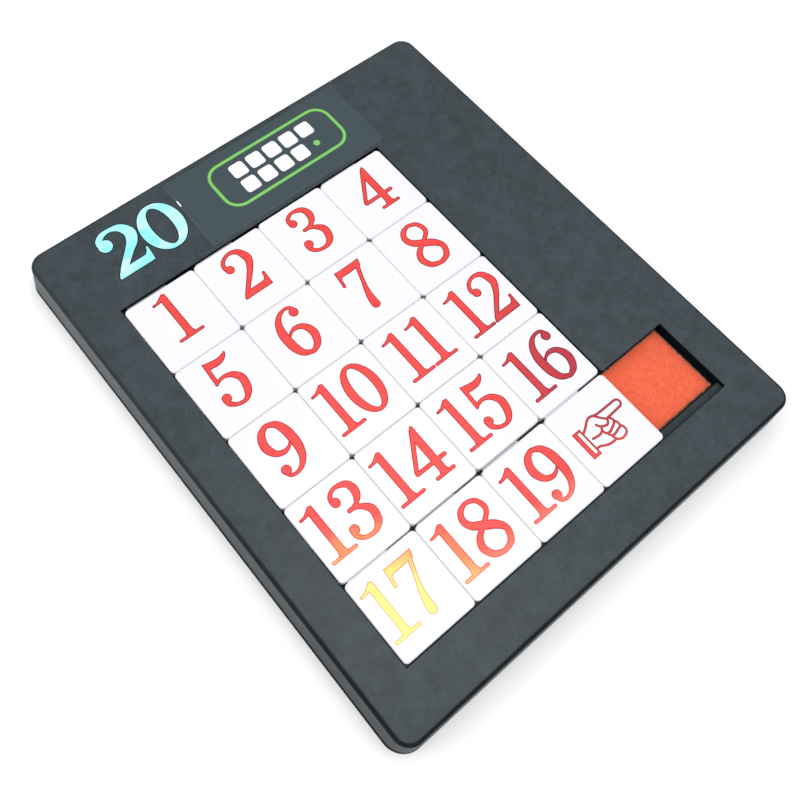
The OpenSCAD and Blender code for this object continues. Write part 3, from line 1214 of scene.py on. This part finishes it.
@dataclass
class FeltMat:
    """The felt pad on the floor of the parking bay."""

    node: str = "felt_mat"
    pitch: float = 0.4
    ragged: float = 0.28
    fluff: float = 0.12
    strands: int = 2600
    batch: int = 50
    seed: int = 7
    passing: str = "tile_hand"
    headroom: float = 0.85
    bare_start: float = 3.0
    edge_inset: float = 0.15
    overhang: float = 0.3
    strand_length: Point = (0.35, 1.1)
    strand_lift: Point = (0.02, 0.09)
    strand_tilt: Point = (-0.25, 0.35)
    strand_ends: Point = (0.032, 0.012)

    def build(self) -> None:
        """Makes the pad and the fibres that stand out of it."""
        low, high = box_mm(self.node)
        chance = random.Random(self.seed)
        pad = self._pad(low, high, chance)
        fuzz = self._fuzz(low, high, chance)

    def _pad(self, low: Vector, high: Vector, chance: random.Random) -> bpy.types.Object:
        """The pad itself.

        Args:
            low: The CAD mat's lowest corner, in millimetres.
            high: Its highest corner.
            chance: The source of its unevenness.

        Returns:
            The piece.
        """
        across = max(2, round((high.x - low.x) / self.pitch))
        along = max(2, round((high.y - low.y) / self.pitch))
        bm = bmesh.new()
        bmesh.ops.create_grid(bm, x_segments=across, y_segments=along, size=0.5)
        bmesh.ops.scale(bm, vec=(high.x - low.x, high.y - low.y, 1.0), verts=bm.verts)
        bmesh.ops.translate(
            bm, vec=((low.x + high.x) / 2, (low.y + high.y) / 2, high.z), verts=bm.verts
        )
        rim = [vert for vert in bm.verts if vert.is_boundary]
        thick = high.z - low.z
        made = bmesh.ops.extrude_face_region(bm, geom=bm.faces[:])["geom"]
        lower = [part for part in made if isinstance(part, bmesh.types.BMVert)]
        bmesh.ops.translate(bm, vec=(0.0, 0.0, -thick + 0.02), verts=lower)
        bmesh.ops.recalc_face_normals(bm, faces=bm.faces)
        edge_verts = set(rim)
        under = set(lower)
        middle = (low + high) / 2
        for vert in bm.verts:
            if vert in under:
                continue
            if vert in edge_verts:
                vert.co.x -= math.copysign(chance.uniform(0.0, self.ragged), vert.co.x - middle.x)
                vert.co.y -= math.copysign(chance.uniform(0.0, self.ragged), vert.co.y - middle.y)
                vert.co.z -= chance.uniform(0.05, 0.3)
            else:
                vert.co.z += chance.uniform(-0.5, 0.5) * self.fluff
        bmesh.ops.smooth_vert(
            bm, verts=bm.verts, factor=0.35, use_axis_x=True, use_axis_y=True, use_axis_z=True
        )
        piece = new_piece("felt_pad", to_mesh(bm), [Palette.FELT])
        for face in piece.data.polygons:
            face.use_smooth = True
        mount(piece, CASE_BODY, self.node)
        return piece

    def _fuzz(self, low: Vector, high: Vector, chance: random.Random) -> bpy.types.Object:
        """Short fibres over the pad and along its cut edges.

        Args:
            low: The CAD mat's lowest corner, in millimetres.
            high: Its highest corner.
            chance: The source of their places and turns.

        Returns:
            The piece.
        """
        bm = bmesh.new()
        room = (box_mm(self.passing)[0].z - high.z) * self.headroom
        for start in range(0, self.strands, self.batch):
            tuft = bmesh.new()
            for number in range(start, start + self.batch):
                self._fibre(tuft, low, high, chance, number % 3 == 0)
            self._press(tuft, high.z, room)
            mesh = to_mesh(tuft, 1.0)
            bm.from_mesh(mesh)
            bpy.data.meshes.remove(mesh)
        piece = new_piece("felt_fuzz", to_mesh(bm), [Palette.FUZZ])
        mount(piece, CASE_BODY)
        return piece

    @staticmethod
    def _press(bm: bmesh.types.BMesh, top: float, room: float) -> None:
        """Lays fibres down under the tile that slides over the mat.

        Args:
            bm: The fibres, in millimetres.
            top: The height of the mat's top.
            room: How far they may rise over it.
        """
        for vert in bm.verts:
            if vert.co.z > top:
                vert.co.z = top + room * math.tanh((vert.co.z - top) / room)

    def _fibre(
        self,
        bm: bmesh.types.BMesh,
        low: Vector,
        high: Vector,
        chance: random.Random,
        at_edge: bool,
    ) -> None:
        """Adds one thin tapered fibre.

        Args:
            bm: The bmesh, in millimetres.
            low: The CAD mat's lowest corner.
            high: Its highest corner.
            chance: The source of its place and turn.
            at_edge: Whether it stands out of a cut edge.
        """
        x = chance.uniform(low.x + self.bare_start, high.x)
        y = chance.uniform(low.y, high.y)
        if at_edge and chance.random() < 0.5:
            y = chance.choice((low.y + self.edge_inset, high.y - self.edge_inset))
        elif at_edge:
            x = high.x - self.edge_inset
        length = chance.uniform(*self.strand_length)
        turn = Matrix.Rotation(chance.uniform(0.0, math.tau), 4, "Z")
        tilt = Matrix.Rotation(math.pi / 2 - chance.uniform(*self.strand_tilt), 4, "Y")
        lift = chance.uniform(*self.strand_lift)
        made = bmesh.ops.create_cone(
            bm,
            cap_ends=True,
            segments=3,
            radius1=self.strand_ends[0],
            radius2=self.strand_ends[1],
            depth=length,
            matrix=Matrix.Translation((x, y, high.z + lift)) @ turn @ tilt,
        )
        for vert in made["verts"]:
            vert.co.x = min(max(vert.co.x, low.x), high.x + self.overhang)
            vert.co.y = min(max(vert.co.y, low.y - self.overhang), high.y + self.edge_inset)


@dataclass
class Sticker:
    """The printed film beside the heading, with a plain motif of tiles in a frame."""

    node: str = "top_label"
    frame_size: Point = (46.0, 16.5)
    frame_line: float = 1.35
    frame_corner: float = 5.0
    tile: float = 5.2
    tile_gap: float = 1.3
    tile_cut: float = 0.9
    columns: int = 5
    rows: int = 2
    motif_shift: Point = (2.0, 1.2)
    edge_width: float = 0.13
    nick: tuple[Point, ...] = ((0.05, 17.2), (0.5, 17.3), (0.45, 19.6), (0.05, 19.5))

    def build(self) -> None:
        """Makes the film and the ink on it."""
        low, high = box_mm(self.node)
        mesh = softened_copy(self.node, self.edge_width, 2, rim_at(high.z))
        film = new_piece("sticker_film", mesh, [Palette.FILM, Palette.FILM_EDGE])
        for face in mesh.polygons:
            face.material_index = int(face.normal.z < 0.98)
        settle(film)
        mount(film, CASE_BODY, self.node)
        shift_x, shift_y = self.motif_shift
        middle = Vector(((low.x + high.x) / 2 + shift_x, (low.y + high.y) / 2 + shift_y))
        frame_shapes = (self._outline(middle), self._dot(middle))
        nick = (Plate(tuple((low.x + x, low.y + y) for x, y in self.nick)),)
        for name, shapes, face, rim, width in (
            ("sticker_frame", frame_shapes, Palette.GREEN, Palette.GREEN_RIM, 0.22),
            ("sticker_tiles", self._tiles(middle), Palette.WHITE, Palette.GREEN_RIM, 0.0),
            ("sticker_nick", nick, Palette.WHITE, Palette.WHITE, 0.0),
        ):
            self._ink(name, shapes, face, rim, high.z, width)
        LOG.info("sticker with %d printed tiles", self.columns * self.rows - 1)

    def _outline(self, middle: Vector) -> Stroke:
        """The green frame as a closed stroke with round corners."""
        half_x, half_y = self.frame_size[0] / 2, self.frame_size[1] / 2
        radius = self.frame_corner
        knots = []
        for quarter, (sx, sy) in enumerate(((1, 1), (-1, 1), (-1, -1), (1, -1))):
            for step in range(9):
                angle = (quarter + step / 8) * math.pi / 2
                x = middle.x + sx * (half_x - radius) + radius * math.cos(angle)
                y = middle.y + sy * (half_y - radius) + radius * math.sin(angle)
                knots.append(Knot(x, y, self.frame_line))
        return Stroke(tuple(knots), closed=True, steps=1)

    def _spots(self, middle: Vector) -> list[Vector]:
        """Middles of the printed tiles, row by row from the upper left."""
        pitch = self.tile + self.tile_gap
        return [
            Vector(
                (
                    middle.x + (column - (self.columns - 1) / 2) * pitch,
                    middle.y - (row - (self.rows - 1) / 2) * pitch,
                )
            )
            for row in range(self.rows)
            for column in range(self.columns)
        ]

    def _dot(self, middle: Vector) -> Disc:
        """The green dot in the empty place."""
        last = self._spots(middle)[-1]
        return Disc(last.x, last.y, self.tile * 0.24)

    def _tiles(self, middle: Vector) -> tuple[Shape, ...]:
        """The printed tiles, all but the last, as squares with blunted corners."""
        half = self.tile / 2
        near, far = half - self.tile_cut, half - self.tile_cut * 0.3
        corners = [(-near, -half), (near, -half), (far, -far)]
        for _ in range(3):
            corners += [(-y, x) for x, y in corners[-3:]]
        return tuple(
            Plate(tuple((spot.x + x, spot.y + y) for x, y in corners))
            for spot in self._spots(middle)[:-1]
        )

    def _ink(
        self,
        name: str,
        shapes: tuple[Shape, ...],
        face: Palette,
        rim: Palette,
        level: float,
        width: float,
    ) -> None:
        """Prints shapes on the film.

        Args:
            name: The piece's name.
            shapes: What is printed.
            face: The ink.
            rim: The ink of the darker outline.
            level: Height of the film, in millimetres.
            width: Width of the outline, 0 for none.
        """
        bm = bmesh.new()
        sign = FoilSign(shapes, width, rise=0.012, sink=0.01, step=0.008)
        sign.add(bm, Matrix.Identity(4), level)
        piece = new_piece(name, to_mesh(bm), [rim if width else face, face])
        mount(piece, CASE_BODY)


@dataclass
class Heading:
    """The bold foil number on the case's top face."""

    rim_width: float = 0.3
    field_edge: float = 32.5

    def build(self) -> None:
        """Stamps the two digits beside each other."""
        top = box_mm("case_frame")[1]
        left = box_mm("tile_01")[1].x - Tile.width
        place = Matrix.Translation((left, top.y - self.field_edge, 0.0))
        bm = bmesh.new()
        for shapes in (HeadingDigits.TWO, HeadingDigits.ZERO):
            FoilSign(shapes, self.rim_width).add(bm, place, top.z)
        piece = new_piece("heading_number", to_mesh(bm), [Palette.ICE_RIM, Palette.ICE])
        mount(piece, CASE_BODY)
        LOG.info("heading from %.2f mm", left)


@dataclass
class Tile:
    """A white tile and the foil sign stamped on it."""

    number: int
    width: float = 23.95
    soft_edge: float = 0.5

    @property
    def label(self) -> str:
        """The end of the tile's names."""
        return "hand" if self.number == HAND_NUMBER else f"{self.number:02d}"

    def build(self, signs: SignSet) -> None:
        """Makes the tile and its sign.

        Args:
            signs: The stamped signs.
        """
        node = f"tile_{self.label}"
        low, high = box_mm(node)
        mesh = softened_copy(node, self.soft_edge, 5, rim_at(high.z))
        piece = new_piece(f"cap_{self.label}", mesh, [Palette.TILE])
        settle(piece)
        bodies = frame["record"]["behaviour"]["bodies"]
        body = next(name for name, nodes in bodies.items() if node in nodes)
        mount(piece, body, node)
        corner = Vector((high.x - self.width, low.y, high.z))
        mount(signs.stamp(self.number, corner), body)
        LOG.info("tile %s on body %s", self.label, body)


@dataclass
class SignSet:
    """The foil signs of all tiles, each digit made once."""

    advance: float = 8.6
    nine_turn: Point = (10.1, 15.9)
    hand_shift: Point = (-0.1, -0.25)
    hand_rim: float = 0.2
    places: dict[int, Point] = field(
        default_factory=lambda: {
            1: (7.3, 6.4), 2: (6.3, 6.0), 3: (6.8, 5.75), 4: (6.9, 5.75),
            5: (6.0, 5.8), 6: (6.2, 5.75), 7: (7.0, 5.35), 8: (6.8, 5.25),
            9: (6.0, 5.6), 10: (1.5, 5.3), 11: (3.35, 5.1), 12: (2.6, 4.75),
            13: (1.5, 4.95), 14: (1.1, 4.9), 15: (2.0, 4.8), 16: (2.6, 4.15),
            17: (1.3, 5.0), 18: (1.0, 4.95), 19: (1.8, 4.9),
        }
    )
    _digits: dict[str, FoilSign] = field(default_factory=dict)

    def digit(self, digit: str) -> FoilSign:
        """A digit's slabs; a nine shares a six's."""
        key = "6" if digit == "9" else digit
        if key not in self._digits:
            self._digits[key] = FoilSign(Digits.SHAPES[key])
        return self._digits[key]

    def stamp(self, number: int, corner: Vector) -> bpy.types.Object:
        """Makes the foil of one tile.

        Args:
            number: The tile's number, or the hand's.
            corner: Lower left corner of the tile's upper face, in millimetres.

        Returns:
            The piece.
        """
        bm = bmesh.new()
        if number == HAND_NUMBER:
            place = self._moved(corner, *self.hand_shift)
            FoilSign(HandShapes.shapes(), self.hand_rim).add(bm, place, corner.z)
            return new_piece("foil_hand", to_mesh(bm), [Palette.RED_RIM, Palette.RED])
        left, foot = self.places[number]
        for index, digit in enumerate(str(number)):
            spot = self._moved(corner, left + index * self.advance, foot)
            if digit == "9":
                half_turn = Matrix.Rotation(math.pi, 4, "Z")
                spot = spot @ Matrix.Translation((*self.nine_turn, 0.0)) @ half_turn
            self.digit(digit).add(bm, spot, corner.z)
        return new_piece(f"foil_{number:02d}", to_mesh(bm), [Palette.RED_RIM, Palette.RED])

    @staticmethod
    def _moved(corner: Vector, x: float, y: float) -> Matrix:
        """A move to a place counted from a tile's corner."""
        return Matrix.Translation((corner.x + x, corner.y + y, 0.0))


@dataclass
class Studio:
    """Pale floor, soft lights and the camera."""

    floor_size: float = 16.0
    focal: float = 35.95
    eye: tuple[float, float, float] = (-92.2, -59.95, 214.94)
    shift: Point = (0.0987, -0.0118)
    tent: tuple[float, float, float, float] = (0.15, 0.85, 0.16, 1.24)

    def build(self) -> None:
        """Sets up everything that isn't the object."""
        self._floor()
        self._lights()
        self._camera()

    def _floor(self) -> None:
        """A large plain sheet under the case."""
        bm = bmesh.new()
        bmesh.ops.create_grid(bm, x_segments=2, y_segments=2, size=self.floor_size / 2)
        floor = new_piece("studio_floor", to_mesh(bm, 1.0), [Palette.FLOOR])

    def _lights(self) -> None:
        """Soft lamps and an even pale surround."""
        bpy.context.scene.world = self._surround()
        bpy.context.scene.view_settings.view_transform = "Standard"
        for name, place, size, power in (
            ("lamp_over", (0.15, -0.04, 0.95), 0.4, 1.6),
            ("lamp_left", (-0.9, 0.5, 0.6), 0.8, 3.0),
        ):
            lamp = bpy.data.lights.new(name, "AREA")
            lamp.shape = "DISK"
            lamp.size = size
            lamp.energy = power
            holder = bpy.data.objects.new(name, lamp)
            bpy.context.scene.collection.objects.link(holder)
            spot = Vector(place)
            holder.location = spot
            holder.rotation_euler = (-spot).to_track_quat("-Z", "Y").to_euler()

    def _surround(self) -> bpy.types.World:
        """A pale tent that darkens towards the horizon.

        Returns:
            The world.
        """
        world = bpy.data.worlds.new("surround")
        world.use_nodes = True
        tree = world.node_tree
        where = tree.nodes.new("ShaderNodeTexCoord")
        split = tree.nodes.new("ShaderNodeSeparateXYZ")
        rise = tree.nodes.new("ShaderNodeMapRange")
        rise.interpolation_type = "SMOOTHSTEP"
        sockets = ("From Min", "From Max", "To Min", "To Max")
        for socket, number in zip(sockets, self.tent, strict=True):
            rise.inputs[socket].default_value = number
        tree.links.new(where.outputs["Generated"], split.inputs[0])
        tree.links.new(split.outputs["Z"], rise.inputs["Value"])
        tree.links.new(rise.outputs[0], tree.nodes["Background"].inputs["Strength"])
        tree.nodes["Background"].inputs["Color"].default_value = (1.0, 1.0, 1.0, 1.0)
        return world

    def _camera(self) -> None:
        """A camera above the near left corner, looking down on the case."""
        data = bpy.data.cameras.new("camera")
        data.sensor_width = 36.0
        data.lens = self.focal
        data.shift_x, data.shift_y = self.shift
        data.clip_start = 0.005
        camera = bpy.data.objects.new("camera", data)
        bpy.context.scene.collection.objects.link(camera)
        right = Vector((0.775863, -0.629142, 0.047078))
        down = Vector((-0.567679, -0.728727, -0.383011))
        ahead = Vector((0.275276, 0.270439, -0.922543))
        turn = Matrix((right, -down, -ahead)).transposed().to_4x4()
        camera.matrix_world = Matrix.Translation(Vector(self.eye) * MM) @ turn
        bpy.context.scene.camera = camera


def main() -> None:
    """Builds every sub-assembly in order."""
    logging.basicConfig(level=logging.INFO, format="%(name)s: %(message)s")
    Studio().build()
    for assembly in (CaseShell(), InnerParts(), FeltMat(), Sticker(), Heading()):
        assembly.build()
    signs = SignSet()
    for number in range(1, HAND_NUMBER + 1):
        Tile(number).build(signs)


if __name__ == "__main__":
    main()
